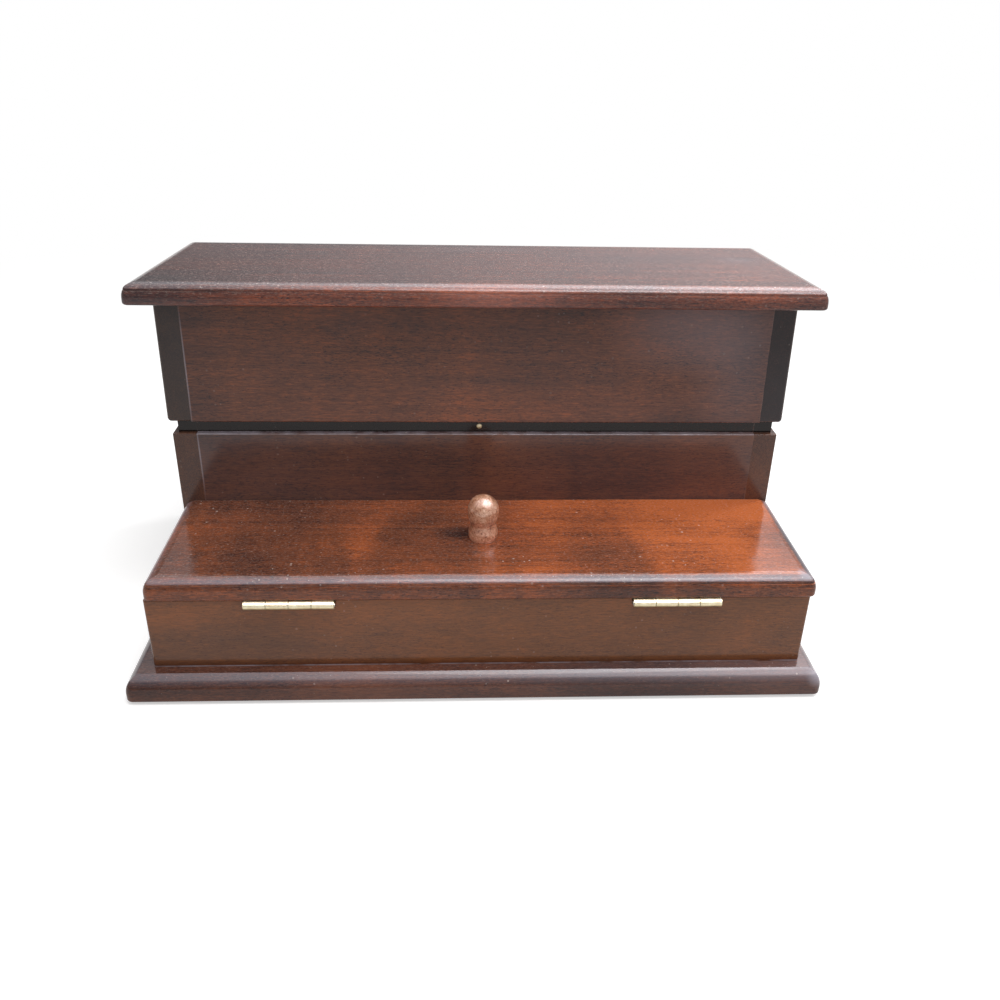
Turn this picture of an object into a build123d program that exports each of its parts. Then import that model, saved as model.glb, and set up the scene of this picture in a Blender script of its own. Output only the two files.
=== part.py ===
from build123d import *
import math
import os

os.makedirs("parts", exist_ok=True)

# A two-step desk box: a low compartment in front under a flap, and a tall compartment
# behind it under a deep lift lid. All sizes are in millimetres. +X is to the right,
# +Y to the back, +Z up. The origin lies at the centre of the footprint, on the table.

# ------------------------------------------------------------------ driving sizes
# boards of the body
wall = 11.0                    # thickness of every upright board, in the body and in the lid
body_width = 284.4             # over the side boards
box_depth = 72.1               # face of the low box to the face of the tall part
box_height = 34.2              # base board to the rim of the low box
upright_depth = 98.0           # face to back of the tall part
upright_height = 78.8          # base board to the ledge that the lid closes on
arris = 0.6                    # softening of the boards' edges
corner_round = 1.4             # rounding of the low box's front corners

# base board
plinth_thickness = 11.8
plinth_side = 9.8              # how far the base board stands out at each side
plinth_front = 9.8             # in front
plinth_back = 9.5              # and behind
plinth_shift = -1.2            # the base board is glued on a little left of centre
plinth_round = 8.75            # round along the base board's upper edge
plinth_crown = 0.75            # part of that round's crown that the flat top takes away
baize_thickness = 1.0
baize_margin = 6.0             # baize kept back from the base board's edge
baize_corner = 4.0

# moulded edges of the flap, of the lid's top board and of the base board
edge_foot = 1.2                # rounding of the nose's lower edge
plan_corner = 3.0              # radius of these boards' corners, seen from above
mitre_round = 0.3              # radius at which the rim's round corners turn into mitres

# elliptical round and ledge of the flap and of the lid's top board
edge_run = 7.4                 # half axes of the elliptical round: across the edge
edge_rise = 3.3                # and upright
edge_crown = 0.15              # part of its crown that the flat top takes away
edge_riser = 0.3               # small riser below the round
edge_ledge = 0.3               # small ledge between that riser and the nose
nose_straight = 1.9            # upright part of the nose above its rounding
nose_bulge = 0.7               # how far the nose swells out below the ledge

# lip on the rim of the tall part, which the lid closes over
lip_height = 6.5
lip_inset = 2.4                # lip's face behind the face of the boards
lip_gap = 0.5                  # free space between the lip and the lid
lip_round = 0.8
joint_gap = 0.3                # a closed lid or flap stays this far above its rim

# flap over the low box
flap_thickness = 9.8
flap_proud = 1.6               # flap's nose in front of the low box
flap_side_proud = 0.5          # and outside its sides
flap_shift = 1.15              # the flap hangs a little right of centre
flap_back_gap = 0.4            # flap's back edge to the tall part

# lift lid
lid_wall_height = 55.9
lid_side_proud = 1.45          # lid's sides outside the body's sides
lid_front_proud = 0.6
lid_corner_round = 1.8
lid_top_thickness = 9.5
lid_overhang_side = 9.9        # top board beyond the lid's walls, at the sides
lid_overhang_front = 10.6      # in front
lid_overhang_back = 5.0        # and behind
lid_ajar = 3.3                 # degrees that the lid stands open

# butt hinges
hinge_length = 38.0
hinge_knuckles = 4
knuckle_gap = 0.2
barrel_radius = 1.8
barrel_out = 1.8               # barrel's axis in front of the boards' face
leaf_thickness = 0.9
leaf_reach = 9.4               # barrel's axis to the leaf's far edge
leaf_notch_gap = 0.3           # leaf plate to the other leaf's knuckles
pin_radius = 0.9
pin_fit = 0.05                 # radial clearance round the pin
pin_overrun = 0.3              # pin's rounded ends beyond the knuckles
mortise_gap = 0.3              # mortise larger than the leaves at its ends and back
hinge_inset = 59.8             # side of the body to the middle of each hinge

# screws
screw_radius = 1.1
screw_head_radius = 2.0
screw_length = 7.5
screw_spread = 25.0            # between the two screws of a leaf
screw_row = 5.8                # hinge axis to the screws
screw_fit = 0.05               # radial clearance of every screw hole
slot_width = 0.5
slot_depth = 0.4
long_screw_radius = 1.7        # screws of the knob and of the base board
long_screw_head_radius = 3.2
knob_screw_length = 20.0
base_screw_length = 24.0
base_screw_inset = 28.0        # base screws from the ends of their boards

# knob
knob_base_radius = 6.2
knob_bead_radius = 6.75
knob_bead_height = 2.5
knob_neck_radius = 5.8
knob_neck_height = 7.3
knob_ball_radius = 7.0
knob_ball_height = 14.1

# snap stud on the lip
stud_radius = 1.3
stud_height = 3.1              # above the ledge
stud_proud = 0.25
stud_shank_radius = 0.7
stud_shank_length = 5.0

# dividers
divider_thickness = 5.0
divider_round = 1.8
tray_divider_height = 26.0
tray_middle_bay = 139.0        # clear width between the tray dividers
letter_divider_height = 66.0

# ------------------------------------------------------------------ stations
body_half = body_width / 2
inner_half = body_half - wall
z_base = baize_thickness
z_floor = z_base + plinth_thickness
z_box_rim = z_floor + box_height
z_flap = z_box_rim + joint_gap
z_ledge = z_floor + upright_height
z_lid = z_ledge + joint_gap
z_lip = z_ledge + lip_height

front_axis_z = z_flap - barrel_radius
rear_axis_z = z_lid - barrel_radius

# The lid's own depths and heights are counted from the rear hinges' axis.
lid_half = body_half + lid_side_proud
lid_inner_half = lid_half - wall
lid_back = -barrel_out
lid_face = lid_back - upright_depth - lid_front_proud
lid_foot = barrel_radius
lid_head = lid_foot + lid_wall_height
lid_rebate = lip_height + lip_gap
lid_side_skin = lid_side_proud + lip_inset - lip_gap
lid_front_skin = lid_front_proud + lip_inset - lip_gap

# Behind, either the base board or the open lid's nose reaches furthest.
tilt = math.radians(lid_ajar)
nose_y = lid_back + lid_overhang_back
nose_z = lid_head + edge_foot + nose_straight
lid_reach = barrel_out + nose_y * math.cos(tilt) + nose_z * math.sin(tilt)
overall_depth = plinth_front + box_depth + upright_depth + max(plinth_back, lid_reach)

y_plinth = -overall_depth / 2
y_box = y_plinth + plinth_front
y_box_inner = y_box + wall
y_upright = y_box + box_depth
y_upright_inner = y_upright + wall
y_back = y_upright + upright_depth
y_back_inner = y_back - wall
y_plinth_back = y_back + plinth_back
y_flap = y_box - flap_proud
y_flap_back = y_upright - flap_back_gap

front_axis_y = y_box - barrel_out
rear_axis_y = y_back + barrel_out
hinge_x = body_half - hinge_inset
SIDES = {"left": -1, "right": 1}
SCREW_ANGLE = 90.0             # degrees across a countersunk head

# Plane of the open lid: its origin lies on the rear hinges' axis.
lid_plane = Plane(
    origin=(0, rear_axis_y, rear_axis_z),
    x_dir=(1, 0, 0),
    z_dir=(0, math.sin(tilt), math.cos(tilt)),
)
lid_across = Axis(lid_plane.origin, lid_plane.x_dir)
lid_deep = Axis(lid_plane.origin, lid_plane.y_dir)
lid_up = Axis(lid_plane.origin, lid_plane.z_dir)


# ------------------------------------------------------------------ helpers
def moved(plane, x=0.0, y=0.0, z=0.0):
    """The plane with its origin at a local point of its own."""
    return Plane(plane.from_local_coords((x, y, z)), x_dir=plane.x_dir, z_dir=plane.z_dir)


def upright_plane(plane, x=0.0):
    """The plane across local x: its own x runs along local y, and its own y up."""
    return Plane(plane.from_local_coords((x, 0, 0)), x_dir=plane.y_dir, z_dir=plane.x_dir)


def board(plane, x_range, y_range, z_range, mode=Mode.ADD):
    """A rectangular board, or a recess, between local stations of the plane."""
    with BuildSketch(plane.offset(z_range[0])) as outline:
        with Locations(((x_range[0] + x_range[1]) / 2, (y_range[0] + y_range[1]) / 2)):
            Rectangle(abs(x_range[1] - x_range[0]), abs(y_range[1] - y_range[0]))
    extrude(outline.sketch, amount=z_range[1] - z_range[0], mode=mode)


def edge_section(plane, half, thickness, ledged, inner, outer, across=False):
    """Section of a moulded board between two distances from the board's middle.

    Its x runs up and its y outwards, and the nose's face is at half. A ledged edge has an
    elliptical round above a small ledge, and a plain one a large round alone. A section
    across the board also has the other side of the middle.
    """
    rise = edge_rise if ledged else plinth_round
    crown = edge_crown if ledged else plinth_crown
    round_foot = thickness + crown - rise
    round_top = round_foot + rise
    with BuildSketch(plane) as section:
        with BuildLine():
            Line((0, 0), (0, half - edge_foot))
            CenterArc((edge_foot, half - edge_foot), edge_foot, 180, -90)
            if ledged:
                nose_top = round_foot - edge_riser
                nose_round = edge_foot + nose_straight
                ledge = half - nose_bulge
                riser = ledge - edge_ledge
                inside = riser - edge_run
                Line((edge_foot, half), (nose_round, half))
                TangentArc((nose_round, half), (nose_top, ledge), tangent=(1, 0))
                Polyline((nose_top, ledge), (nose_top, riser), (round_foot, riser))
                EllipticalCenterArc((round_foot, inside), edge_rise, edge_run, arc_size=90)
            else:
                inside = half - plinth_round
                Line((edge_foot, half), (round_foot, half))
                CenterArc((round_foot, inside), plinth_round, 90, -90)
            Polyline((round_top, inside), (round_top, 0), (0, 0))
        make_face()
        with Locations((thickness / 2, (inner + outer) / 2)):
            Rectangle(thickness, outer - inner, mode=Mode.INTERSECT)
        if across:
            mirror(about=Plane.XZ)
    return section.sketch


def moulded_board(plane, width, depth, thickness, ledged=True):
    """A board moulded all round. Its edges meet in mitres, and its rim goes round the corners."""
    up = plane.z_dir
    rim_depth = plan_corner - mitre_round
    along_x = Plane(plane.origin, x_dir=up, z_dir=plane.x_dir)
    along_y = Plane(plane.origin, x_dir=up, z_dir=-plane.y_dir)
    for along, length, size, mode in (
        (along_x, width, depth, Mode.ADD),
        (along_y, depth, width, Mode.INTERSECT),
    ):
        core_half = size / 2 - rim_depth
        core = edge_section(along, size / 2, thickness, ledged, 0, core_half, across=True)
        extrude(core, amount=length / 2, both=True, mode=mode)
    with BuildSketch(plane) as outline:
        RectangleRounded(width, depth, plan_corner)
    path = outline.sketch.face().outer_wire()
    half = depth / 2
    middle = moved(Plane(path @ 0, x_dir=up, z_dir=path % 0), y=-half)
    rim = edge_section(middle, half, thickness, ledged, half - rim_depth, half)
    sweep(rim, path=path)


def front_hinge(x):
    """Plane on a front hinge's axis, x from the flap's middle: y runs into the wood, z up."""
    origin = (flap_shift + x, front_axis_y, front_axis_z)
    return Plane(origin, x_dir=(1, 0, 0), z_dir=(0, 0, 1))


def rear_hinge(x, up=(0, 0, 1)):
    """Plane on a rear hinge's axis: y runs into the wood, z up."""
    return Plane((x, rear_axis_y, rear_axis_z), x_dir=(-1, 0, 0), z_dir=up)


def screw_heads(hinge, side):
    """Planes on a leaf's screw heads. Side 1 is the turning leaf above, -1 the fixed one below."""
    height = side * (barrel_radius - leaf_thickness)
    heads = []
    for x in (-screw_spread / 2, screw_spread / 2):
        point = hinge.from_local_coords((x, screw_row, height))
        heads.append(Plane(point, x_dir=hinge.x_dir, z_dir=hinge.z_dir * -side))
    return heads


def screw(head, radius, head_radius, length):
    """A slotted countersunk screw, from the plane of its head down that plane's -z."""
    with BuildSketch(Plane(head.origin, x_dir=head.x_dir, z_dir=head.y_dir)) as profile:
        with BuildLine():
            Polyline(
                (0, 0),
                (head_radius, 0),
                (radius, head_radius - radius),
                (radius, length - 2 * radius),
                (0, length),
                close=True,
            )
        make_face()
    revolve(profile.sketch, axis=Axis(head.origin, head.z_dir))
    with BuildSketch(head) as slot:
        Rectangle(2 * head_radius, slot_width)
    extrude(slot.sketch, amount=-slot_depth, mode=Mode.SUBTRACT)


def round_bar(plane, radius, length, mode=Mode.ADD):
    """A bar, or a bore, along the plane's z."""
    with BuildSketch(plane) as section:
        Circle(radius)
    extrude(section.sketch, amount=length, mode=mode)


def leaf(hinge, side):
    """A hinge leaf with every other knuckle. Side 1 is the turning leaf, -1 the fixed one."""
    cell = hinge_length / hinge_knuckles
    knuckle = cell - knuckle_gap
    plate_start = barrel_radius + leaf_notch_gap
    plate_foot = barrel_radius - leaf_thickness if side > 0 else -barrel_radius
    first = 1 if side > 0 else 0
    centres = [(i + 0.5) * cell - hinge_length / 2 for i in range(first, hinge_knuckles, 2)]
    with BuildSketch(hinge.offset(plate_foot)) as plate:
        with Locations((0, (plate_start + leaf_reach) / 2)):
            Rectangle(hinge_length, leaf_reach - plate_start)
        with Locations([(x, plate_start / 2) for x in centres]):
            Rectangle(knuckle, plate_start)
    extrude(plate.sketch, amount=leaf_thickness)
    for x in centres:
        round_bar(upright_plane(hinge, x - knuckle / 2), barrel_radius, knuckle)
    bore_plane = upright_plane(hinge, -hinge_length / 2)
    round_bar(bore_plane, pin_radius + pin_fit, hinge_length, mode=Mode.SUBTRACT)
    sunk_holes(screw_heads(hinge, side), screw_radius, screw_head_radius, screw_length)


def pin(hinge):
    """A hinge pin with rounded ends."""
    end_plane = upright_plane(hinge, -hinge_length / 2 - pin_overrun)
    round_bar(end_plane, pin_radius, hinge_length + 2 * pin_overrun)
    fillet(edges().filter_by(GeomType.CIRCLE), pin_overrun)


def mortise(hinge):
    """The pocket that holds both leaves of a closed hinge."""
    half = hinge_length / 2 + mortise_gap
    board(
        hinge,
        (-half, half),
        (0, leaf_reach + mortise_gap),
        (-barrel_radius, barrel_radius),
        mode=Mode.SUBTRACT,
    )


def pilot_holes(heads, radius, length):
    """Straight holes for screws."""
    with Locations(*heads):
        Hole(radius + screw_fit, length + screw_fit)


def sunk_holes(heads, radius, head_radius, length):
    """Countersunk holes for screws."""
    with Locations(*heads):
        CounterSinkHole(radius + screw_fit, head_radius + screw_fit, length, SCREW_ANGLE)


# ------------------------------------------------------------------ base
plinth_width = body_width + 2 * plinth_side
plinth_depth = y_plinth_back - y_plinth
plinth_centre = (y_plinth + y_plinth_back) / 2
plinth_plane = Plane((plinth_shift, plinth_centre, z_base), x_dir=(1, 0, 0), z_dir=(0, 0, 1))

side_screw_x = body_half - wall / 2
base_screw_points = [(0, y_box + wall / 2), (0, y_back - wall / 2)]
for side in SIDES.values():
    base_screw_points.append((side * side_screw_x, y_box_inner + base_screw_inset))
    base_screw_points.append((side * side_screw_x, y_back - base_screw_inset))
base_heads = [
    Plane((x, y, z_base), x_dir=(1, 0, 0), z_dir=(0, 0, -1)) for x, y in base_screw_points
]

with BuildPart() as baize:
    with BuildSketch(moved(plinth_plane, z=-baize_thickness)):
        RectangleRounded(
            plinth_width - 2 * baize_margin, plinth_depth - 2 * baize_margin, baize_corner
        )
    extrude(amount=baize_thickness)
baize.part.label = "base_baize"
export_step(baize.part, "parts/base_baize.step")

with BuildPart() as plinth:
    moulded_board(plinth_plane, plinth_width, plinth_depth, plinth_thickness, ledged=False)
    sunk_holes(base_heads, long_screw_radius, long_screw_head_radius, base_screw_length)
plinth.part.label = "base_board"
export_step(plinth.part, "parts/base_board.step")

with BuildPart() as base_screws:
    for head in base_heads:
        screw(head, long_screw_radius, long_screw_head_radius, base_screw_length)
base_screws.part.label = "base_screws"
export_step(base_screws.part, "parts/base_screws.step")

# ------------------------------------------------------------------ carcase
with BuildPart() as box_front:
    board(Plane.XY, (-body_half, body_half), (y_box, y_box_inner), (z_floor, z_box_rim))
    front_corners = box_front.edges().filter_by(Axis.Z).group_by(Axis.Y)[0]
    fillet(front_corners, corner_round)
    fillet(box_front.faces().sort_by(Axis.Z)[-1].edges().group_by(Axis.Y)[0], arris)
    for side in SIDES.values():
        mortise(front_hinge(side * hinge_x))
        pilot_holes(screw_heads(front_hinge(side * hinge_x), -1), screw_radius, screw_length)
    pilot_holes(base_heads, long_screw_radius, base_screw_length)
box_front.part.label = "box_front_board"
export_step(box_front.part, "parts/box_front_board.step")

for name, side in SIDES.items():
    with BuildPart() as side_board:
        with BuildSketch(Plane.YZ.offset(side * side_screw_x)):
            with BuildLine():
                Polyline(
                    (y_box_inner, z_floor),
                    (y_box_inner, z_box_rim),
                    (y_upright, z_box_rim),
                    (y_upright, z_ledge),
                    (y_back, z_ledge),
                    (y_back, z_floor),
                    close=True,
                )
            make_face()
        extrude(amount=wall / 2, both=True)
        outer_edges = side_board.edges().group_by(Axis.X)[0 if side < 0 else -1]
        fillet(outer_edges.filter_by(Axis.Z).sort_by(Axis.Y)[1:], arris)
        outer_edges = side_board.edges().filter_by(Axis.Y).group_by(Axis.X)[0 if side < 0 else -1]
        fillet(outer_edges.sort_by(Axis.Z)[1:], arris / 2)
        board(
            Plane.XY,
            (side * inner_half, side * (body_half - lip_inset)),
            (y_upright + lip_inset, y_back_inner - lip_gap),
            (z_ledge, z_lip),
        )
        lip_edges = side_board.edges().filter_by(Axis.Y).group_by(Axis.Z)[-1]
        fillet(lip_edges.sort_by(Axis.X)[0 if side < 0 else -1], lip_round)
        pilot_holes(base_heads, long_screw_radius, base_screw_length)
    side_board.part.label = f"side_board_{name}"
    export_step(side_board.part, f"parts/side_board_{name}.step")

stud_y = y_upright + lip_inset
stud_axis = Axis((0, stud_y, z_ledge + stud_height), (0, 1, 0))
dome_radius = (stud_radius**2 + stud_proud**2) / (2 * stud_proud)

with BuildPart() as upright_front:
    with BuildSketch(Plane.YZ):
        with BuildLine():
            Polyline(
                (y_upright, z_floor),
                (y_upright, z_ledge),
                (y_upright + lip_inset, z_ledge),
                (y_upright + lip_inset, z_lip),
                (y_upright_inner, z_lip),
                (y_upright_inner, z_floor),
                close=True,
            )
        make_face()
    extrude(amount=inner_half, both=True)
    long_edges = upright_front.edges().filter_by(Axis.X)
    fillet(long_edges.group_by(Axis.Y)[0].sort_by(Axis.Z)[-1], arris / 2)
    fillet(upright_front.edges().filter_by(Axis.X).group_by(Axis.Z)[-1], lip_round)
    with Locations(Plane(stud_axis.position, z_dir=(0, -1, 0))):
        Hole(stud_shank_radius + screw_fit, stud_shank_length + screw_fit)
upright_front.part.label = "upright_front_board"
export_step(upright_front.part, "parts/upright_front_board.step")

with BuildPart() as back_board:
    board(Plane.XY, (-inner_half, inner_half), (y_back_inner, y_back), (z_floor, z_ledge))
    fillet(back_board.faces().sort_by(Axis.Z)[-1].edges().group_by(Axis.Y)[-1], arris / 2)
    for side in SIDES.values():
        mortise(rear_hinge(side * hinge_x))
        pilot_holes(screw_heads(rear_hinge(side * hinge_x), -1), screw_radius, screw_length)
    pilot_holes(base_heads, long_screw_radius, base_screw_length)
back_board.part.label = "back_board"
export_step(back_board.part, "parts/back_board.step")

with BuildPart() as stud:
    with BuildSketch(Plane.XY.offset(stud_axis.position.Z)):
        with BuildLine():
            Line((0, stud_y + stud_shank_length), (stud_shank_radius, stud_y + stud_shank_length))
            Line((stud_shank_radius, stud_y + stud_shank_length), (stud_shank_radius, stud_y))
            Line((stud_shank_radius, stud_y), (stud_radius, stud_y))
            RadiusArc((stud_radius, stud_y), (0, stud_y - stud_proud), dome_radius)
            Line((0, stud_y - stud_proud), (0, stud_y + stud_shank_length))
        make_face()
    revolve(axis=stud_axis)
stud.part.label = "snap_stud"
export_step(stud.part, "parts/snap_stud.step")

# ------------------------------------------------------------------ dividers
for name, side in SIDES.items():
    x_near = side * tray_middle_bay / 2
    with BuildPart() as tray_divider:
        board(
            Plane.XY,
            (x_near, x_near + side * divider_thickness),
            (y_box_inner, y_upright),
            (z_floor, z_floor + tray_divider_height),
        )
        fillet(tray_divider.edges().filter_by(Axis.Y).group_by(Axis.Z)[-1], divider_round)
    tray_divider.part.label = f"tray_divider_{name}"
    export_step(tray_divider.part, f"parts/tray_divider_{name}.step")

y_middle = (y_upright_inner + y_back_inner) / 2
with BuildPart() as letter_divider:
    board(
        Plane.XY,
        (-inner_half, inner_half),
        (y_middle - divider_thickness / 2, y_middle + divider_thickness / 2),
        (z_floor, z_floor + letter_divider_height),
    )
    fillet(letter_divider.edges().filter_by(Axis.X).group_by(Axis.Z)[-1], divider_round)
letter_divider.part.label = "letter_divider"
export_step(letter_divider.part, "parts/letter_divider.step")

# ------------------------------------------------------------------ flap and knob
# The board is moulded all round, then its back edge is cut square.
flap_width = body_width + 2 * flap_side_proud
flap_stock = y_flap_back - y_flap + edge_run + plan_corner
flap_plane = Plane((flap_shift, y_flap + flap_stock / 2, z_flap), x_dir=(1, 0, 0), z_dir=(0, 0, 1))
knob_x = flap_shift
knob_y = (y_flap + y_flap_back) / 2
knob_head = Plane((knob_x, knob_y, z_flap), x_dir=(1, 0, 0), z_dir=(0, 0, -1))
z_knob = z_flap + flap_thickness

with BuildPart() as flap:
    moulded_board(flap_plane, flap_width, flap_stock, flap_thickness)
    split(bisect_by=Plane.XZ.offset(-y_flap_back), keep=Keep.TOP)
    for side in SIDES.values():
        pilot_holes(screw_heads(front_hinge(side * hinge_x), 1), screw_radius, screw_length)
    sunk_holes([knob_head], long_screw_radius, long_screw_head_radius, knob_screw_length)
flap.part.label = "flap_board"
export_step(flap.part, "parts/flap_board.step")

knob_top = knob_ball_height + knob_ball_radius
with BuildPart() as knob:
    with BuildSketch(Plane((knob_x, knob_y, z_knob), x_dir=(1, 0, 0), z_dir=(0, -1, 0))):
        with BuildLine():
            Line((0, 0), (knob_base_radius, 0))
            Spline(
                (knob_base_radius, 0),
                (knob_bead_radius, knob_bead_height),
                (knob_neck_radius, knob_neck_height),
                (knob_ball_radius, knob_ball_height),
                tangents=((0.45, 1), (0, 1)),
            )
            RadiusArc((knob_ball_radius, knob_ball_height), (0, knob_top), -knob_ball_radius)
            Line((0, knob_top), (0, 0))
        make_face()
    revolve(axis=Axis((knob_x, knob_y, z_knob), (0, 0, 1)))
    pilot_holes([knob_head], long_screw_radius, knob_screw_length)
knob.part.label = "knob"
export_step(knob.part, "parts/knob.step")

with BuildPart() as knob_screw:
    screw(knob_head, long_screw_radius, long_screw_head_radius, knob_screw_length)
knob_screw.part.label = "knob_screw"
export_step(knob_screw.part, "parts/knob_screw.step")

# ------------------------------------------------------------------ lift lid
top_front = lid_face - lid_overhang_front
top_back = lid_back + lid_overhang_back
top_plane = moved(lid_plane, y=(top_front + top_back) / 2, z=lid_head)
with BuildPart() as lid_top:
    moulded_board(
        top_plane,
        2 * (lid_half + lid_overhang_side),
        top_back - top_front,
        lid_top_thickness,
    )
lid_top.part.label = "lid_top_board"
export_step(lid_top.part, "parts/lid_top_board.step")

for name, side in SIDES.items():
    with BuildPart() as lid_side:
        board(
            lid_plane,
            (side * lid_inner_half, side * lid_half),
            (lid_face, lid_back),
            (lid_foot, lid_head),
        )
        outer_edges = lid_side.edges().group_by(lid_across)[0 if side < 0 else -1]
        fillet(outer_edges.filter_by(lid_up), lid_corner_round)
        outer_edges = lid_side.edges().filter_by(lid_deep).group_by(lid_up)[0]
        fillet(outer_edges.sort_by(lid_across)[0 if side < 0 else -1], lid_corner_round)
        board(
            lid_plane,
            (side * lid_inner_half, side * (lid_half - lid_side_skin)),
            (lid_face + lid_front_skin, lid_back - wall),
            (lid_foot, lid_foot + lid_rebate),
            mode=Mode.SUBTRACT,
        )
    lid_side.part.label = f"lid_side_board_{name}"
    export_step(lid_side.part, f"parts/lid_side_board_{name}.step")

with BuildPart() as lid_front:
    board(
        lid_plane,
        (-lid_inner_half, lid_inner_half),
        (lid_face, lid_face + wall),
        (lid_foot, lid_head),
    )
    long_edges = lid_front.edges().filter_by(Axis.X).group_by(lid_deep)[0]
    fillet(long_edges.sort_by(lid_up)[0], arris)
    board(
        lid_plane,
        (-lid_inner_half, lid_inner_half),
        (lid_face + lid_front_skin, lid_face + wall),
        (lid_foot, lid_foot + lid_rebate),
        mode=Mode.SUBTRACT,
    )
lid_front.part.label = "lid_front_board"
export_step(lid_front.part, "parts/lid_front_board.step")

with BuildPart() as lid_rear:
    board(
        lid_plane,
        (-lid_inner_half, lid_inner_half),
        (lid_back - wall, lid_back),
        (lid_foot, lid_head),
    )
    for side in SIDES.values():
        hinge = rear_hinge(side * hinge_x, lid_plane.z_dir)
        pilot_holes(screw_heads(hinge, 1), screw_radius, screw_length)
lid_rear.part.label = "lid_back_board"
export_step(lid_rear.part, "parts/lid_back_board.step")

# ------------------------------------------------------------------ hinges
for name, side in SIDES.items():
    x = side * hinge_x
    hinges = {
        "front": (front_hinge(x), front_hinge(x)),
        "rear": (rear_hinge(x), rear_hinge(x, lid_plane.z_dir)),
    }
    for place, (closed, opened) in hinges.items():
        with BuildPart() as fixed_leaf:
            leaf(closed, -1)
        fixed_leaf.part.label = f"{place}_hinge_{name}_fixed_leaf"
        export_step(fixed_leaf.part, f"parts/{place}_hinge_{name}_fixed_leaf.step")

        with BuildPart() as turning_leaf:
            leaf(opened, 1)
        turning_leaf.part.label = f"{place}_hinge_{name}_turning_leaf"
        export_step(turning_leaf.part, f"parts/{place}_hinge_{name}_turning_leaf.step")

        with BuildPart() as hinge_pin:
            pin(closed)
        hinge_pin.part.label = f"{place}_hinge_{name}_pin"
        export_step(hinge_pin.part, f"parts/{place}_hinge_{name}_pin.step")

screw_groups = {
    "front_fixed_leaf_screws": (front_hinge, -1),
    "flap_leaf_screws": (front_hinge, 1),
    "rear_fixed_leaf_screws": (rear_hinge, -1),
    "lid_leaf_screws": (lambda x: rear_hinge(x, lid_plane.z_dir), 1),
}
for label, (hinge_at, leaf_side) in screw_groups.items():
    with BuildPart() as leaf_screws:
        for side in SIDES.values():
            for head in screw_heads(hinge_at(side * hinge_x), leaf_side):
                screw(head, screw_radius, screw_head_radius, screw_length)
    leaf_screws.part.label = label
    export_step(leaf_screws.part, f"parts/{label}.step")
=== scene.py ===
import math

import bpy
from mathutils import Matrix, Vector

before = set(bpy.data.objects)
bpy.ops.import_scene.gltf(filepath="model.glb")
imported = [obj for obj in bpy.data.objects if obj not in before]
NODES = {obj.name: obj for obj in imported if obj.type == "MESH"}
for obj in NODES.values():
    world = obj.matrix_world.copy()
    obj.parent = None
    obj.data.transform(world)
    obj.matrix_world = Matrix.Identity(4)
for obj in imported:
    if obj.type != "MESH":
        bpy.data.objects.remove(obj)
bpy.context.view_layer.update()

# Lengths are in metres and angles in radians. +X is to the right, +Y to the back, +Z up.
# Colours are linear.
MIDDLE = 0.5                            # what a noise texture varies around


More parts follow.
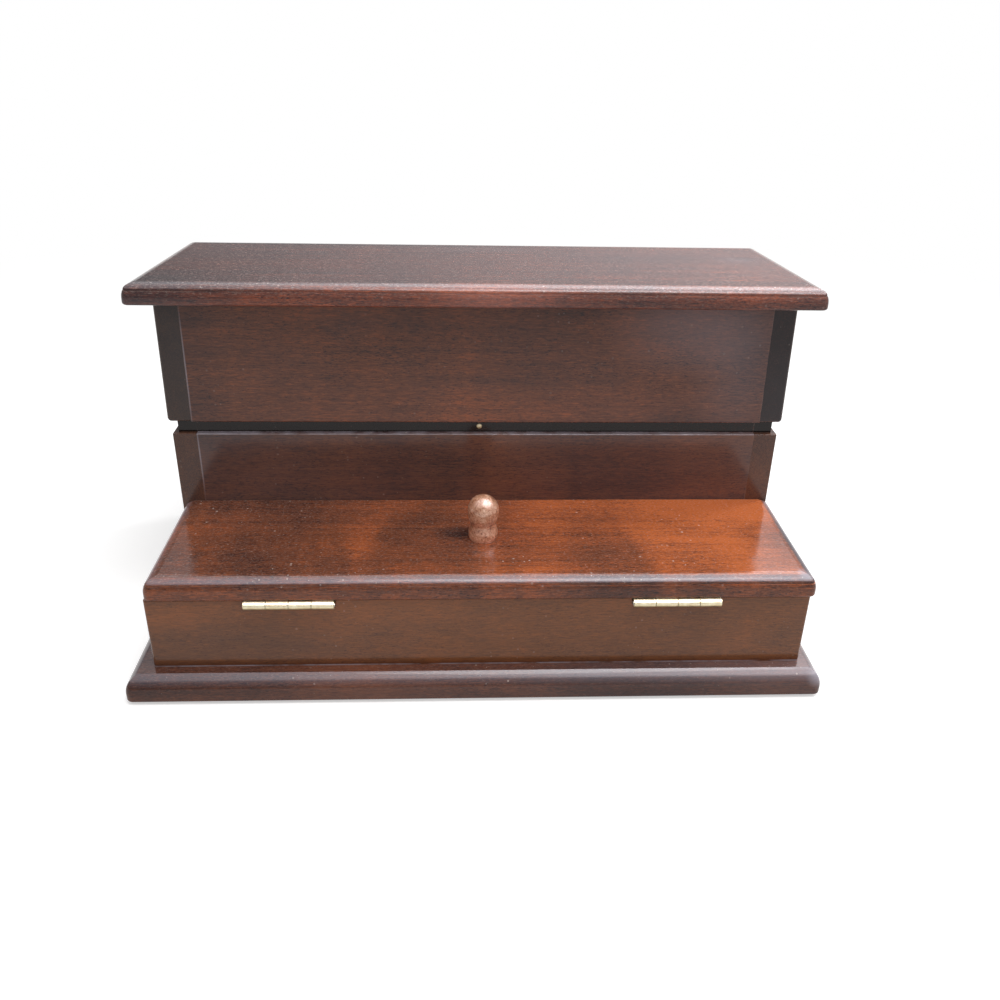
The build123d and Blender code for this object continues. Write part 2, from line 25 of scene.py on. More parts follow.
# ---------------------------------------------------------------- node tree helpers
class Graph:
    """A node tree, with short ways to add to it."""

    def __init__(self, tree):
        self.tree = tree

    def put(self, socket, value):
        if isinstance(value, bpy.types.NodeSocket):
            self.tree.links.new(value, socket)
        elif isinstance(value, tuple) and socket.type == "RGBA":
            socket.default_value = (*value, 1.0)
        else:
            socket.default_value = value

    def add(self, kind, settings=None, **inputs):
        node = self.tree.nodes.new(kind)
        for key, value in (settings or {}).items():
            setattr(node, key, value)
        for key, value in inputs.items():
            self.put(node.inputs[key.replace("_", " ")], value)
        return node

    def split(self, vector):
        """The X, Y and Z of a vector."""
        return self.add("ShaderNodeSeparateXYZ", Vector=vector).outputs

    def math(self, operation, *values, clamp=False):
        node = self.add("ShaderNodeMath", {"operation": operation, "use_clamp": clamp})
        for socket, value in zip(node.inputs, values):
            self.put(socket, value)
        return node.outputs[0]

    def product(self, first, *others):
        for other in others:
            first = self.math("MULTIPLY", first, other)
        return first

    def line(self, value, slope, start, clamp=False):
        """start + slope * value."""
        return self.math("MULTIPLY_ADD", value, slope, start, clamp=clamp)

    def weighted(self, start, *terms):
        """start, plus each socket of the (socket, weight) terms counted from its middle."""
        total = start
        for socket, weight in terms:
            total = self.line(self.math("SUBTRACT", socket, MIDDLE), weight, total)
        return total

    def band(self, value, low, high):
        """0 below low, 1 above high, smooth between them. Falls instead if low is above high."""
        settings = {"interpolation_type": "SMOOTHSTEP"}
        node = self.add("ShaderNodeMapRange", settings, Value=value)
        ends = (low, high, 0.0, 1.0) if low < high else (high, low, 1.0, 0.0)
        for socket, end in zip(node.inputs[1:5], ends):     # From Min to To Max
            socket.default_value = end
        return node.outputs[0]

    def ramp(self, value, stops):
        node = self.add("ShaderNodeValToRGB", Fac=value)
        elements = node.color_ramp.elements
        while len(elements) < len(stops):
            elements.new(0.5)
        for element, (place, colour) in zip(elements, stops):
            element.position = place
            element.color = (*colour, 1.0)
        return node.outputs[0]

    def mix(self, factor, a, b, blend="MIX"):
        node = self.add("ShaderNodeMix", {"data_type": "RGBA", "blend_type": blend})
        self.put(node.inputs[0], factor)
        self.put(node.inputs[6], a)         # 6 and 7 are its two colours
        self.put(node.inputs[7], b)
        return node.outputs[2]              # and 2 is the mixed one

    def noise(self, vector, scale, detail, roughness, distortion=0.0):
        node = self.add(
            "ShaderNodeTexNoise",
            Vector=vector,
            Scale=scale,
            Detail=detail,
            Roughness=roughness,
            Distortion=distortion,
        )
        return node.outputs[0]

    def fibrous(self, vector, along, across, detail, roughness, distortion=0.0):
        """Noise drawn out along X: a feature is 1/along long and 1/across wide."""
        scale = (along, across, across)
        drawn_out = self.add("ShaderNodeMapping", Vector=vector, Scale=scale).outputs[0]
        return self.noise(drawn_out, 1.0, detail, roughness, distortion)

    def length(self, vector):
        node = self.add("ShaderNodeVectorMath", {"operation": "LENGTH"})
        self.put(node.inputs[0], vector)
        return node.outputs["Value"]

    def patch(self, point, middle, reach):
        """A soft patch: 1 at its middle, 0 from its reach along each axis on."""
        sizes = tuple(1.0 / size for size in reach)
        shift = tuple(-place / size for place, size in zip(middle, reach))
        local = self.add("ShaderNodeMapping", Vector=point, Scale=sizes, Location=shift)
        return self.band(self.length(local.outputs[0]), 1.0, 0.0)

    def with_patches(self, value, point, patches):
        """value, raised at each patch by its strength."""
        for middle, reach, strength in patches:
            value = self.line(self.patch(point, middle, reach), strength, value)
        return value

    def edges(self, radius, turn):
        """1 on edges. turn is the range of the cosine between the normal and its average
        within the radius, from where the edge starts to where it is full."""
        rounded = self.add("ShaderNodeBevel", {"samples": 4}, Radius=radius).outputs[0]
        along = self.add("ShaderNodeVectorMath", {"operation": "DOT_PRODUCT"})
        self.put(along.inputs[0], rounded)
        self.put(along.inputs[1], self.add("ShaderNodeNewGeometry").outputs["Normal"])
        return self.band(along.outputs["Value"], *turn)

    def bump(self, height, distance, strength, under=None):
        """A normal with this relief, on top of the normal under it if there is one."""
        node = self.add("ShaderNodeBump", Height=height, Distance=distance, Strength=strength)
        if under is not None:
            self.put(node.inputs["Normal"], under)
        return node.outputs[0]


class Material(Graph):
    """The node tree of a new material, and its shader."""

    def __init__(self, name):
        self.material = bpy.data.materials.new(name)
        self.material.use_nodes = True
        super().__init__(self.material.node_tree)
        self.shader = self.tree.nodes["Principled BSDF"]

    def shade(self, **inputs):
        for key, value in inputs.items():
            self.put(self.shader.inputs[key.replace("_", " ")], value)
        return self.material


# ---------------------------------------------------------------- mahogany: its measures
LID_AJAR = math.radians(3.3)            # how far the lid stands open in the CAD frame
ALONG_X = (0.0, 0.0, 0.0)               # turns that bring a board's grain to X
ALONG_Y = (0.0, 0.0, math.pi / 2)
ALONG_Y_AJAR = (LID_AJAR, 0.0, math.pi / 2)
SEED_STEP = (1.0, 1.7, 2.3)             # a seed shifts the figure this way

WOOD = (                                # from dark to light
    (0.00, (0.010, 0.004, 0.003)),
    (0.30, (0.058, 0.020, 0.010)),
    (0.55, (0.150, 0.052, 0.020)),
    (0.80, (0.310, 0.092, 0.026)),
    (1.00, (0.500, 0.150, 0.036)),
)
WORN = (0.34, 0.20, 0.16)               # bare, rubbed edges
# dust, and the bloom and painted sheen on the polish
DUST_AND_SHEEN = (0.41, 0.38, 0.43)
# painted sheen on the rounds of mouldings
RIM_SHEEN = (0.36, 0.39, 0.50)
SPECK = (0.75, 0.62, 0.55)
CORNER_SHADE = (0.62, 0.60, 0.62)             # painted shade: the wood is multiplied by this in the corner at the box's foot

# Ranges of the normal's Z, over which a face is taken to look up, to be level, or to be
# the round of a moulding.
UPWARD = (0.1, 0.9)
LEVEL = (0.93, 0.985)
ROUND_BEGINS, ROUND_ENDS = (0.35, 0.75), (0.985, 0.90)

# The figure, from the widest forms to the pores. Each: how often it comes in a metre along
# the grain and across it, then the detail, roughness and distortion of the noise.
CLOUD = (7.0, 26.0, 3.0, 0.55, 0.9)
CURL = (26.0, 9.0, 2.0, 0.5, 0.6)
RINGS = (6.0, 260.0, 3.0, 0.65, 0.5)
FIBRE = (260.0, 1500.0, 3.0, 0.7, 0.6)
THREADS = (150.0, 2800.0, 2.0, 0.6, 0.5)
PORES = (620.0, 3000.0, 1.0, 0.5, 0.4)
PORE_CROWDS = (22.0, 60.0, 2.0, 0.6)    # where the pores are many
PORE_EDGE = (0.60, 0.70)
CLOUD_WEIGHT, FIBRE_WEIGHT, THREAD_WEIGHT, CROWD_WEIGHT = 0.45, 0.60, 0.35, 0.35
PORE_TONE = -0.22                       # the open pores are darker

END_FACE = (0.75, 0.95)                 # how squarely a face cuts the grain
LIP_SHADE = -0.5                         # painted shade: the lip in the gap under the lid is made nearly black
LIP_BLUR = 0.0004
LEDGE = 0.09165                         # height at which the lip begins
# a line of dust along the ledge that is also a painted highlight
LEDGE_DUST_AND_HIGHLIGHT = (LEDGE - 0.0002, LEDGE + 0.0002)
BOX_FOOT = 0.0128                       # height at which the box stands on the base board
FOOT_DUST = (BOX_FOOT, BOX_FOOT + 0.0005)
FOOT_BLUR = 0.0035                      # painted shade darkens the box over this height above its foot

EDGE_RADIUS, EDGE_TURN = 0.0007, (0.97, 0.72)           # what counts as an edge
BARE, BARE_EDGE = (60.0, 4.0, 0.65), (0.40, 0.66)       # where the edges are bare
SMOKE = (9.0, 14.0, 4.0, 0.6, 0.5)                      # the unevenness of the bloom and painted sheen
SMOKE_SPAN, SMOKE_LEAST = 1.4, 0.3
RIM_SPAN, RIM_LEAST = 0.8, 0.6
LINT, LINT_EDGE = (700.0, 2400.0, 3.0, 0.75), (0.50, 0.72)
LINT_UP, LINT_ANYWHERE = 0.75, 0.25                     # shares of the fine dust
DUST_LINE, DUST_LINE_EDGE = (90.0, 3.0, 0.6), (0.25, 0.65)
DUST_LINE_BELOW, DUST_LINE_ABOVE = 0.0004, 0.0003       # how softly the line ends
DUST_LINE_STRENGTH = 0.6
SPECK_SCALE = 430.0
SPECK_RARITY = 5.0                                      # how few of the specks are large
SPECK_SPAN, SPECK_LEAST = 0.20, 0.04                    # radii, as shares of their spacing
SETTLED, SETTLED_EDGE = (18.0, 3.0, 0.6), (0.42, 0.72)  # where the specks have settled
SPECK_UP, SPECK_ANYWHERE = 0.55, 0.15

WAVES = (60.0, 130.0, 1.0, 0.5)         # very low waves in the polish
WAVE_DEPTH, WAVE_STRENGTH = 0.00006, 0.6
POLISH_DEPTH, POLISH_STRENGTH = 0.00002, 0.35           # the pores, as the polish shows them
GRAIN_DEPTH, GRAIN_STRENGTH = 0.00008, 0.5              # and in the wood under it
GRIT_FIBRE, GRIT_PORES = 0.6, -0.5                      # what that relief is made of
WOOD_ROUGHNESS, ROUGH_FIBRE, ROUGH_WORN = 0.42, 0.15, 0.3
POLISH_IOR = 1.36


# ---------------------------------------------------------------- mahogany
def wood_figure(g, board, tone, flame, lines, fine):
    """The lightness of the figure, and two of its parts: the fibres and the pores."""
    cloud = g.fibrous(board, *CLOUD)
    curl = g.fibrous(board, *CURL)
    rings = g.fibrous(board, *RINGS)
    fibre = g.fibrous(board, *FIBRE)
    threads = g.fibrous(board, *THREADS)
    crowds = g.fibrous(board, *PORE_CROWDS)
    dashes = g.weighted(MIDDLE, (g.fibrous(board, *PORES), 1.0), (crowds, CROWD_WEIGHT))
    pores = g.band(dashes, *PORE_EDGE)
    level = g.weighted(
        tone,
        (cloud, CLOUD_WEIGHT),
        (curl, flame),
        (rings, lines),
        (fibre, FIBRE_WEIGHT * fine),
        (threads, THREAD_WEIGHT * fine),
    )
    return g.line(pores, PORE_TONE * fine, level), fibre, pores


def end_faces(g, normal, grain):
    """The faces that cut the grain across."""
    local = g.add("ShaderNodeMapping", {"vector_type": "NORMAL"}, Vector=normal, Rotation=grain)
    along_grain = g.split(local.outputs[0])[0]
    return g.band(g.math("ABSOLUTE", along_grain), *END_FACE)


def dust_and_highlight_line(g, point, z, low, high):
    """A broken line of dust between two heights; on a ledge it is also a painted highlight."""
    below = g.band(z, low - DUST_LINE_BELOW, low)
    above = g.band(z, high + DUST_LINE_ABOVE, high)
    broken = g.band(g.noise(point, *DUST_LINE), *DUST_LINE_EDGE)
    return g.product(below, above, broken, DUST_LINE_STRENGTH)


def specks(g, placed, point, up):
    """Specks of dust and tiny chips, most of them very small."""
    dots = g.add("ShaderNodeTexVoronoi", Vector=placed, Scale=SPECK_SCALE)
    sizes = g.add("ShaderNodeSeparateColor", Color=dots.outputs["Color"]).outputs[0]
    radius = g.line(g.math("POWER", sizes, SPECK_RARITY), SPECK_SPAN, SPECK_LEAST)
    speck = g.math("LESS_THAN", dots.outputs["Distance"], radius)
    settled = g.band(g.noise(point, *SETTLED), *SETTLED_EDGE)
    shown = g.product(settled, g.line(up, SPECK_UP, SPECK_ANYWHERE))
    return g.product(speck, shown)


def mahogany(
    name,
    grain=ALONG_X,
    seed=0.0,
    tone=0.5,
    painted_top_light=0.0,
    slope=0.0,
    flame=0.3,
    lines=0.25,
    fine=1.0,
    end_tone=-0.18,
    tint=(1.0, 1.0, 1.0),
    haze=0.055,
    painted_sheen_slope=0.0,
    rim_sheen=0.0,
    film=0.04,
    wear=0.5,
    coat=0.9,
    coat_roughness=0.13,
    lip=None,
    foot=None,
    dust_and_highlight_at=None,
    tone_and_light_patches=(),
    bloom_and_highlights=(),
):
    """Stained and polished mahogany.

    grain       the turn that brings its grain to X
    seed        shifts the figure, so that no two boards are alike
    tone        its lightness
    painted_top_light   painted light that a level top gets; below zero it is painted shade
    slope       painted light that a level top gets for each metre along X
    flame       strength of the bands across the grain
    lines       strength of the growth rings
    fine        strength of the fibres, threads and pores
    end_tone    what the end grain adds, which drinks more stain
    tint        what the colour is multiplied by
    haze        grey bloom on the polish, and painted_sheen_slope a painted sheen that each metre along X adds
    rim_sheen   painted sheen on the rounds of a moulding
    film        fine dust, mostly on faces that look up
    wear        bare wood on the edges
    coat        weight of the polish, and coat_roughness its roughness
    lip         height above which painted shade makes the wood nearly black
    foot        height of the corner towards which painted shade darkens it
    dust_and_highlight_at   the two heights between which a line of dust lies, which on a ledge is also a painted highlight
    tone_and_light_patches, bloom_and_highlights   soft patches of tone and of painted light and shade, and of bloom and painted highlights and reflections: a middle, a reach and a strength
    """
    g = Material(name)
    places = g.add("ShaderNodeTexCoord")
    point, normal = places.outputs["Object"], places.outputs["Normal"]
    shift = tuple(step * seed for step in SEED_STEP)
    placed = g.add("ShaderNodeMapping", Vector=point, Location=shift).outputs[0]
    board = g.add("ShaderNodeMapping", Vector=placed, Rotation=grain).outputs[0]
    x, _, z = g.split(point)
    rise = g.split(normal)[2]
    up, flat = g.band(rise, *UPWARD), g.band(rise, *LEVEL)

    # The wood, with painted light and shade on level tops and in patches, and painted shade
    # above the lip.
    level, fibre, pores = wood_figure(g, board, tone, flame, lines, fine)
    # Painted light on level tops that grows along X, then patches of tone and of painted light
    # and shade.
    level = g.line(g.product(x, flat), slope, level)
    level = g.line(flat, painted_top_light, level)
    level = g.with_patches(level, point, tone_and_light_patches)
    level = g.line(end_faces(g, normal, grain), end_tone, level)
    # Painted shade: above the lip the wood is made nearly black.
    if lip is not None:
        above_lip = g.band(z, lip, lip + LIP_BLUR)
        level = g.line(above_lip, LIP_SHADE, level)
    colour = g.mix(1.0, g.ramp(level, WOOD), tint, "MULTIPLY")

    # Bare edges, then the bloom and painted sheen, and painted sheen on the rounds of a
    # moulding.
    bare = g.band(g.noise(point, *BARE), *BARE_EDGE)
    worn = g.product(g.edges(EDGE_RADIUS, EDGE_TURN), bare, wear)
    colour = g.mix(worn, colour, WORN)
    smoke = g.fibrous(board, *SMOKE)
    bloom_and_sheen = g.with_patches(g.line(x, painted_sheen_slope, haze), point, bloom_and_highlights)
    if lip is not None:
        bloom_and_sheen = g.product(bloom_and_sheen, g.math("SUBTRACT", 1.0, above_lip))
    uneven = g.line(smoke, SMOKE_SPAN, SMOKE_LEAST)
    colour = g.mix(g.math("MULTIPLY", bloom_and_sheen, uneven, clamp=True), colour, DUST_AND_SHEEN)
    if rim_sheen:
        rounds = g.product(g.band(rise, *ROUND_BEGINS), g.band(rise, *ROUND_ENDS))
        rounds = g.product(rounds, g.line(smoke, RIM_SPAN, RIM_LEAST))
        colour = g.mix(g.math("MULTIPLY", rounds, rim_sheen, clamp=True), colour, RIM_SHEEN)

    # Dust, with a line on the ledge that is also a painted highlight, and painted shade in the
    # corner at the foot.
    lying = g.line(up, LINT_UP * film, LINT_ANYWHERE * film)
    lint = g.product(g.band(g.fibrous(board, *LINT), *LINT_EDGE), lying)
    colour = g.mix(lint, colour, SPECK)
    if foot is not None:
        colour = g.mix(g.band(z, foot + FOOT_BLUR, foot), colour, CORNER_SHADE, "MULTIPLY")
    if dust_and_highlight_at is not None:
        colour = g.mix(dust_and_highlight_line(g, point, z, *dust_and_highlight_at), colour, DUST_AND_SHEEN)
    colour = g.mix(specks(g, placed, point, up), colour, SPECK)

    # The polish follows the pores a little, and lies in very low waves.
    grit = g.weighted(MIDDLE, (fibre, GRIT_FIBRE), (pores, GRIT_PORES))
    waves = g.bump(g.fibrous(board, *WAVES), WAVE_DEPTH, WAVE_STRENGTH)
    return g.shade(
        Base_Color=colour,
        Roughness=g.line(worn, ROUGH_WORN, g.weighted(WOOD_ROUGHNESS, (fibre, ROUGH_FIBRE))),
        Specular_IOR_Level=0.0,
        Normal=g.bump(grit, GRAIN_DEPTH, GRAIN_STRENGTH),
        Coat_Weight=coat,
        Coat_Roughness=coat_roughness,
        Coat_IOR=POLISH_IOR,
        Coat_Normal=g.bump(grit, POLISH_DEPTH, POLISH_STRENGTH, waves),
    )


# ---------------------------------------------------------------- the other materials
KNOB_WOOD = (                           # from dark to light
    (0.00, (0.035, 0.014, 0.010)),
    (0.35, (0.210, 0.072, 0.036)),
    (0.60, (0.500, 0.225, 0.125)),
    (1.00, (0.820, 0.540, 0.390)),
)
KNOB_TONE = 0.66
KNOB_PORE_EDGE, KNOB_PORE_TONE = (0.56, 0.66), -0.22
BRASS = (                               # from tarnished to bright
    (0.00, (0.26, 0.18, 0.09)),
    (0.40, (0.56, 0.44, 0.25)),
    (0.70, (0.74, 0.67, 0.47)),
    (1.00, (0.84, 0.80, 0.64)),
)
BRASS_TONE = 0.66
BRASS_UNDER, BRASS_UNDER_SHADE = (0.1, -0.7), -0.45      # painted shade: faces that look down are darker
BRASS_EDGE, BRASS_EDGE_SHARE = (0.20, 0.16, 0.08), 0.75
BRASS_EDGE_RADIUS, BRASS_EDGE_TURN = 0.0004, (0.98, 0.80)
BAIZE = (                               # from deep in the nap to its tips
    (0.0, (0.010, 0.045, 0.020)),
    (0.5, (0.028, 0.115, 0.052)),
    (1.0, (0.075, 0.210, 0.105)),
)
STEEL_STAINS = (0.3, 0.75)              # from stained to clean
PIN_STEEL = dict(clean=(0.58, 0.55, 0.50), stained=(0.30, 0.26, 0.21), roughness=0.35)
SCREW_STEEL = dict(clean=(0.52, 0.51, 0.49), stained=(0.25, 0.24, 0.22), roughness=0.38)


def knob_wood():
    """Turned knob: bright coppery wood with dark flecks under a thick polish."""
    g = Material("knob_wood")
    point = g.add("ShaderNodeTexCoord").outputs["Object"]
    fleck = g.noise(point, scale=800.0, detail=4.0, roughness=0.7, distortion=0.8)
    cloud = g.noise(point, scale=150.0, detail=3.0, roughness=0.6, distortion=0.5)
    pores = g.band(g.noise(point, scale=900.0, detail=3.0, roughness=0.6), *KNOB_PORE_EDGE)
    level = g.weighted(KNOB_TONE, (fleck, 1.3), (cloud, 0.6))
    level = g.line(pores, KNOB_PORE_TONE, level)
    swell = g.bump(cloud, distance=0.0001, strength=0.6)
    return g.shade(
        Base_Color=g.ramp(level, KNOB_WOOD),
        Roughness=g.weighted(0.38, (cloud, 0.2)),
        Specular_IOR_Level=0.4,
        Normal=g.bump(fleck, distance=0.00012, strength=0.5),
        Coat_Weight=1.0,
        Coat_Roughness=0.16,
        Coat_IOR=1.5,
        Coat_Normal=g.bump(fleck, distance=0.00006, strength=0.7, under=swell),
    )


def brass():
    """Old brass of the hinges: pale where it is rubbed, dull at its edges, and darker underneath
    as painted shade.
    """
    g = Material("brass")
    places = g.add("ShaderNodeTexCoord")
    point, rise = places.outputs["Object"], g.split(places.outputs["Normal"])[2]
    stain = g.noise(point, scale=260.0, detail=4.0, roughness=0.65, distortion=0.4)
    turned = g.fibrous(point, along=2400.0, across=90.0, detail=2.0, roughness=0.6)
    level = g.weighted(BRASS_TONE, (stain, 0.9), (turned, 0.25))
    level = g.line(g.band(rise, *BRASS_UNDER), BRASS_UNDER_SHADE, level)
    edge = g.product(g.edges(BRASS_EDGE_RADIUS, BRASS_EDGE_TURN), BRASS_EDGE_SHARE)
    dents = g.bump(stain, distance=0.00006, strength=0.4)
    return g.shade(
        Base_Color=g.mix(edge, g.ramp(level, BRASS), BRASS_EDGE),
        Metallic=0.7,
        Roughness=g.weighted(0.42, (stain, 0.25), (turned, 0.12)),
        Normal=g.bump(turned, distance=0.00003, strength=0.5, under=dents),
    )


def steel(name, clean, stained, roughness):
    """Plain steel with a fine drawn grain and faint staining."""
    g = Material(name)
    point = g.add("ShaderNodeTexCoord").outputs["Object"]
    stain = g.noise(point, scale=320.0, detail=4.0, roughness=0.6, distortion=0.3)
    drawn = g.fibrous(point, along=90.0, across=2600.0, detail=2.0, roughness=0.6)
    brightness = g.band(g.weighted(MIDDLE, (stain, 1.0), (drawn, 0.4)), *STEEL_STAINS)
    return g.shade(
        Base_Color=g.mix(brightness, stained, clean),
        Metallic=1.0,
        Roughness=g.weighted(roughness, (stain, 0.2), (drawn, 0.15)),
        Normal=g.bump(drawn, distance=0.00002, strength=0.4),
    )


def baize():
    """Green baize under the base: short matted wool."""
    g = Material("baize")
    point = g.add("ShaderNodeTexCoord").outputs["Object"]
    wool = g.noise(point, scale=1800.0, detail=4.0, roughness=0.7, distortion=1.2)
    nap = g.noise(point, scale=220.0, detail=3.0, roughness=0.6, distortion=0.8)
    rubbed = g.noise(point, scale=24.0, detail=3.0, roughness=0.55)
    return g.shade(
        Base_Color=g.ramp(g.weighted(MIDDLE, (wool, 0.7), (nap, 0.4), (rubbed, 0.35)), BAIZE),
        Roughness=0.95,
        Specular_IOR_Level=0.15,
        Sheen_Weight=0.4,
        Sheen_Roughness=0.5,
        Normal=g.bump(wool, distance=0.0004, strength=0.7),
    )


# ---------------------------------------------------------------- which piece is made of what
# What mahogany() is told for each board. A patch of tone and painted light and shade, or of
# bloom and painted highlight, is its middle and its reach, both in the CAD frame, and its
# strength.
BOARDS = {
    "lid_top_board": dict(
        # Painted shade on the level top, painted light growing to the right, and painted sheen
        # growing to the right and on the moulding.
        seed=0.31, tone=0.60, painted_top_light=-0.17, slope=0.8, lines=0.9, haze=0.06,
        painted_sheen_slope=0.06, rim_sheen=0.05, wear=1.0, film=0.45, fine=1.8, coat_roughness=0.15,
        tint=(0.95, 0.73, 0.90),
        # Painted light and shade: a painted highlight in the middle of the front, painted shade
        # at the left and at the right end of the nose.
        tone_and_light_patches=(
            ((0.005, -0.03, 0.160), (0.06, 0.03, 0.02), 0.35),
            ((-0.155, -0.02, 0.158), (0.080, 0.04, 0.03), -0.30),
            ((0.155, -0.02, 0.150), (0.070, 0.02, 0.012), -0.15),
        ),
        # Painted highlights and sheen, with a painted glint at the front right corner.
        bloom_and_highlights=(
            ((0.01, -0.03, 0.160), (0.05, 0.02, 0.02), 0.16),
            ((0.151, -0.024, 0.163), (0.006, 0.006, 0.004), 0.7),
            ((0.00, 0.075, 0.170), (0.05, 0.016, 0.02), 0.22),
            ((-0.155, -0.02, 0.150), (0.080, 0.02, 0.012), 0.10),
            ((0.13, 0.050, 0.170), (0.02, 0.012, 0.02), 0.25),
        ),
    ),
    "lid_front_board": dict(
        seed=1.13, tone=0.52, lines=0.3, haze=0.055, fine=1.3, tint=(1.0, 0.93, 0.98),
        # Painted light low in the middle, painted shade towards both ends.
        tone_and_light_patches=(
            ((0.01, 0.0, 0.100), (0.09, 0.05, 0.025), 0.14),
            ((-0.128, 0.0, 0.125), (0.022, 0.05, 0.060), -0.14),
            ((0.128, 0.0, 0.125), (0.022, 0.05, 0.060), -0.20),
        ),
        # A painted reflection on the upper right, and a pale line at the left joint.
        bloom_and_highlights=(
            ((0.10, 0.0, 0.146), (0.055, 0.05, 0.032), 0.24),
            ((0.12, 0.0, 0.120), (0.030, 0.05, 0.045), 0.10),
            ((-0.1324, -0.01, 0.122), (0.0006, 0.05, 0.040), 0.5),
        ),
    ),
    "lid_back_board": dict(seed=2.57, tone=0.44),
    "lid_side_board_left": dict(
        seed=3.21, tone=0.36, grain=ALONG_Y_AJAR, end_tone=-0.14, haze=0.07,
        # Its green cast is a painted reflection.
        tint=(0.80, 1.05, 0.85),
    ),
    "lid_side_board_right": dict(
        seed=4.77, tone=0.36, grain=ALONG_Y_AJAR, end_tone=-0.35,
        bloom_and_highlights=(((0.126, -0.01, 0.130), (0.006, 0.02, 0.06), 0.10),),
    ),
    # Here and on the side boards the lip is painted shade, and the line along the ledge is dust
    # and a painted highlight.
    "upright_front_board": dict(
        seed=5.39, tone=0.43, haze=0.095, lip=LEDGE, dust_and_highlight_at=LEDGE_DUST_AND_HIGHLIGHT,
        bloom_and_highlights=(((-0.1309, -0.01, 0.080), (0.0006, 0.05, 0.025), 0.5),),
    ),
    "back_board": dict(seed=6.83, tone=0.42),
    "side_board_left": dict(
        seed=7.41, tone=0.42, grain=ALONG_Y, end_tone=-0.05, lip=LEDGE, tint=(0.95, 1.0, 0.85),
    ),
    "side_board_right": dict(
        seed=8.19, tone=0.42, grain=ALONG_Y, end_tone=-0.05, lip=LEDGE, tint=(0.97, 1.0, 0.9),
    ),
    "box_front_board": dict(
        seed=9.07, tone=0.61, flame=0.15, lines=0.12, haze=0.04, fine=0.75,
        # The foot puts painted shade in the corner where the box stands on the base board.
        tint=(0.97, 0.99, 0.76), dust_and_highlight_at=FOOT_DUST, foot=BOX_FOOT,
    ),
    "flap_board": dict(
        # Painted light on the level top, growing to the right, and painted sheen on the
        # moulding.
        seed=10.3, tone=0.51, painted_top_light=0.18, slope=2.3, flame=0.75, lines=0.5, haze=0.03,
        rim_sheen=0.22, wear=0.7, film=0.26, fine=1.5, tint=(1.12, 0.90, 0.80),
        # Patches of tone and painted light: the knob's painted shadow at -0.010 and a pool of
        # painted light at 0.100.
        tone_and_light_patches=(
            ((-0.052, -0.05, 0.06), (0.014, 0.05, 0.02), 0.20),
            ((-0.010, -0.046, 0.06), (0.016, 0.009, 0.02), -0.30),
            ((-0.140, -0.05, 0.06), (0.060, 0.06, 0.02), 0.10),
            ((0.100, -0.02, 0.06), (0.040, 0.03, 0.02), 0.22),
            ((0.060, -0.07, 0.06), (0.045, 0.03, 0.02), -0.22),
            ((0.140, -0.06, 0.06), (0.030, 0.04, 0.02), -0.50),
        ),
        # A painted reflection of the knob under it, and a painted glint at the front right
        # corner.
        bloom_and_highlights=(
            ((0.0045, -0.067, 0.061), (0.0035, 0.016, 0.005), 0.55),
            ((0.139, -0.082, 0.059), (0.005, 0.006, 0.006), 0.8),
        ),
    ),
    "base_board": dict(
        # Painted sheen growing to the right and on the moulding.
        seed=11.9, tone=0.41, haze=0.05, painted_sheen_slope=0.10, rim_sheen=0.13, wear=0.7,
        film=0.10, tint=(1.05, 0.93, 0.95),
        tone_and_light_patches=(((-0.15, -0.095, 0.009), (0.12, 0.03, 0.01), -0.12),),
        # A painted glint at the front right corner, and painted sheen along the right of the
        # moulding.
        bloom_and_highlights=(
            ((0.149, -0.091, 0.009), (0.007, 0.007, 0.006), 0.8),
            ((0.130, -0.090, 0.011), (0.120, 0.020, 0.006), 0.12),
        ),
    ),
    "tray_divider_left": dict(seed=12.7, tone=0.47, grain=ALONG_Y, coat=0.5),
    "tray_divider_right": dict(seed=13.9, tone=0.47, grain=ALONG_Y, coat=0.5),
    "letter_divider": dict(seed=14.3, tone=0.47, coat=0.5),
}


def dress(node_name, material):
    data = NODES[node_name].data
    data.materials.clear()
    data.materials.append(material)


def dress_wood():
    for name, settings in BOARDS.items():
        dress(name, mahogany(f"mahogany_{name}", **settings))


def dress_rest():
    old_brass = brass()
    pin_steel = steel("pin_steel", **PIN_STEEL)
    screw_steel = steel("screw_steel", **SCREW_STEEL)
    dress("knob", knob_wood())
    dress("base_baize", baize())
    for name in NODES:
        if name.endswith("_leaf") or name == "snap_stud":
            dress(name, old_brass)
        elif name.endswith("_pin"):
            dress(name, pin_steel)
        elif name.endswith("_screws") or name == "knob_screw":
            dress(name, screw_steel)


# ---------------------------------------------------------------- camera
IMAGE_SIDE = 1000                       # pixels
FOCAL_PIXELS = 948.478
SENSOR = 36.0                           # mm
CLIP = (0.02, 20.0)
# Its place and turn, solved from the straight edges of the boards in the photograph.
EYE = Vector((-0.01171, -0.423058, 0.269602))
YAW, PITCH, ROLL = 0.054, 0.478, -0.023


def make_camera():
    forward = Vector((
        math.sin(YAW) * math.cos(PITCH),
        math.cos(YAW) * math.cos(PITCH),
        -math.sin(PITCH),
    ))
    level_right = Vector((math.cos(YAW), -math.sin(YAW), 0.0))
    level_down = forward.cross(level_right)
    right = math.cos(ROLL) * level_right + math.sin(ROLL) * level_down
    down = -math.sin(ROLL) * level_right + math.cos(ROLL) * level_down
    data = bpy.data.cameras.new("camera")
    data.sensor_width = SENSOR
    data.lens = FOCAL_PIXELS / IMAGE_SIDE * SENSOR
    data.clip_start, data.clip_end = CLIP
    camera = bpy.data.objects.new("camera", data)
    turn = Matrix((right, -down, -forward)).transposed().to_4x4()
    camera.matrix_world = Matrix.Translation(EYE) @ turn
    bpy.context.scene.collection.objects.link(camera)
    bpy.context.scene.camera = camera


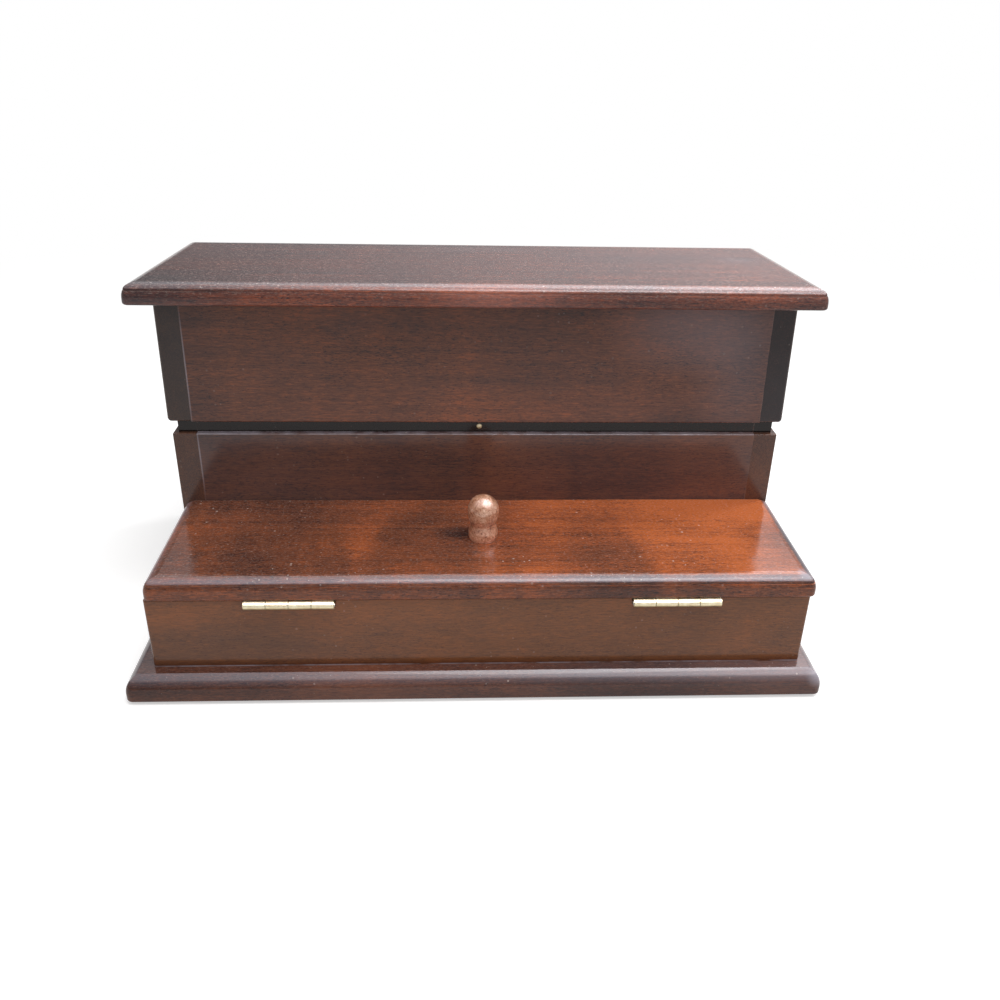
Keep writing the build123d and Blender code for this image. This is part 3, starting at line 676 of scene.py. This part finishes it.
# ---------------------------------------------------------------- studio
WHITE = (1.0, 1.0, 1.0)
FLOOR_GAP = 0.0002                      # the floor lies this far under the baize
FLOOR_SIDE = 60.0
FLOOR_FADE = (0.3, 0.9)                 # it turns from lit to plain white over these distances
FLOOR_WHITE = (0.8, 0.8, 0.8)
FLOOR_GLOW = 0.48                       # its own light, so that it is white but for the shadow
NEAR_FLOOR = 5.0 * FLOOR_GAP            # shorter rays begin on the underside of the base
AMBIENT = 0.5                           # what lights the object; the backdrop is plain white
ROOM_TINT = (1.0, 0.955, 1.0)           # the colour of the room in reflections
ROOM_TURN = 0.3                         # it brightens while a direction's X is -0.3 to 0.3
HORIZON = (0.14, 0.28)                  # the walls are darker below this height
HORIZON_LIGHT = 0.7                     # by this factor
WALL_LIGHT = (0.34, 1.10)               # from left to right
CEILING_LIGHT = (3.2, 11.5)
CEILING_BACK = (0.40, 0.75)             # height of a direction at which the ceiling begins
CEILING_FRONT = (-0.78, -0.5)           # and its depth where the ceiling ends, in front
LAMPS = {                               # place, what it faces, its sides and its radiance
    "overhead": ((0.25, -0.35, 1.5), (0.0, 0.0, 0.1), (0.8, 0.55), 8.0),
    "right": ((0.95, 0.40, 0.75), (0.1, -0.05, 0.05), (0.24, 0.24), 24.0),
}


def make_floor():
    """A white floor that keeps the object's shadow, and is clear when seen from below."""
    bpy.ops.mesh.primitive_plane_add(size=FLOOR_SIDE)
    floor = bpy.context.object
    floor.name = "floor"
    floor.location.z = -FLOOR_GAP
    g = Material("floor_white")
    distance = g.length(g.add("ShaderNodeTexCoord").outputs["Object"])
    far = g.band(distance, *FLOOR_FADE)
    path = g.add("ShaderNodeLightPath").outputs
    seen = g.math("ADD", path["Is Camera Ray"], path["Is Glossy Ray"])
    seen = g.math("ADD", seen, path["Is Transmission Ray"], clamp=True)
    g.shade(
        Base_Color=g.mix(far, FLOOR_WHITE, (0.0, 0.0, 0.0)),
        Roughness=0.9,
        Specular_IOR_Level=0.0,
        Emission_Color=WHITE,
        Emission_Strength=g.product(seen, g.line(far, 1.0 - FLOOR_GLOW, FLOOR_GLOW)),
    )
    near = g.math("LESS_THAN", path["Ray Length"], NEAR_FLOOR)
    below = g.add("ShaderNodeNewGeometry").outputs["Backfacing"]
    both = g.add("ShaderNodeMixShader", Fac=g.math("MAXIMUM", near, below))
    g.put(both.inputs[1], g.shader.outputs[0])      # 1 and 2 are its two shaders
    g.put(both.inputs[2], g.add("ShaderNodeBsdfTransparent").outputs[0])
    g.put(g.tree.nodes["Material Output"].inputs["Surface"], both.outputs[0])
    floor.data.materials.append(g.material)


def make_world():
    """A plain white backdrop. Reflections see a room that is brighter on the right instead."""
    world = bpy.data.worlds.new("world")
    bpy.context.scene.world = world
    world.use_nodes = True
    g = Graph(world.node_tree)
    x, y, z = g.split(g.add("ShaderNodeTexCoord").outputs["Generated"])
    rightward = g.line(x, 0.5 / ROOM_TURN, 0.5, clamp=True)
    wall = g.line(rightward, WALL_LIGHT[1] - WALL_LIGHT[0], WALL_LIGHT[0])
    shade = g.line(g.band(z, *HORIZON), 1.0 - HORIZON_LIGHT, HORIZON_LIGHT)
    wall = g.product(wall, shade)
    ceiling = g.line(rightward, CEILING_LIGHT[1] - CEILING_LIGHT[0], CEILING_LIGHT[0])
    overhead = g.product(g.band(z, *CEILING_BACK), g.band(y, *CEILING_FRONT))
    room = g.line(overhead, g.math("SUBTRACT", ceiling, wall), wall)

    path = g.add("ShaderNodeLightPath").outputs
    gloss = path["Is Glossy Ray"]
    plain = g.math("ADD", path["Is Camera Ray"], path["Is Transmission Ray"], clamp=True)
    light = g.line(plain, 1.0 - AMBIENT, AMBIENT)
    light = g.line(gloss, g.math("SUBTRACT", room, light), light)
    background = g.tree.nodes["Background"]
    g.put(background.inputs["Color"], g.mix(gloss, WHITE, ROOM_TINT))
    g.put(background.inputs["Strength"], light)


def softbox(name, place, target, sides, radiance):
    """A rectangular lamp that faces the target."""
    data = bpy.data.lights.new(name, "AREA")
    data.shape = "RECTANGLE"
    data.size, data.size_y = sides
    data.energy = radiance * math.pi * sides[0] * sides[1]
    lamp = bpy.data.objects.new(name, data)
    lamp.location = place
    lamp.rotation_euler = (Vector(target) - Vector(place)).to_track_quat("-Z", "Y").to_euler()
    bpy.context.scene.collection.objects.link(lamp)


dress_wood()
dress_rest()
make_camera()
make_floor()
make_world()
for lamp_name, lamp_settings in LAMPS.items():
    softbox(lamp_name, *lamp_settings)
bpy.context.scene.view_settings.view_transform = "Standard"
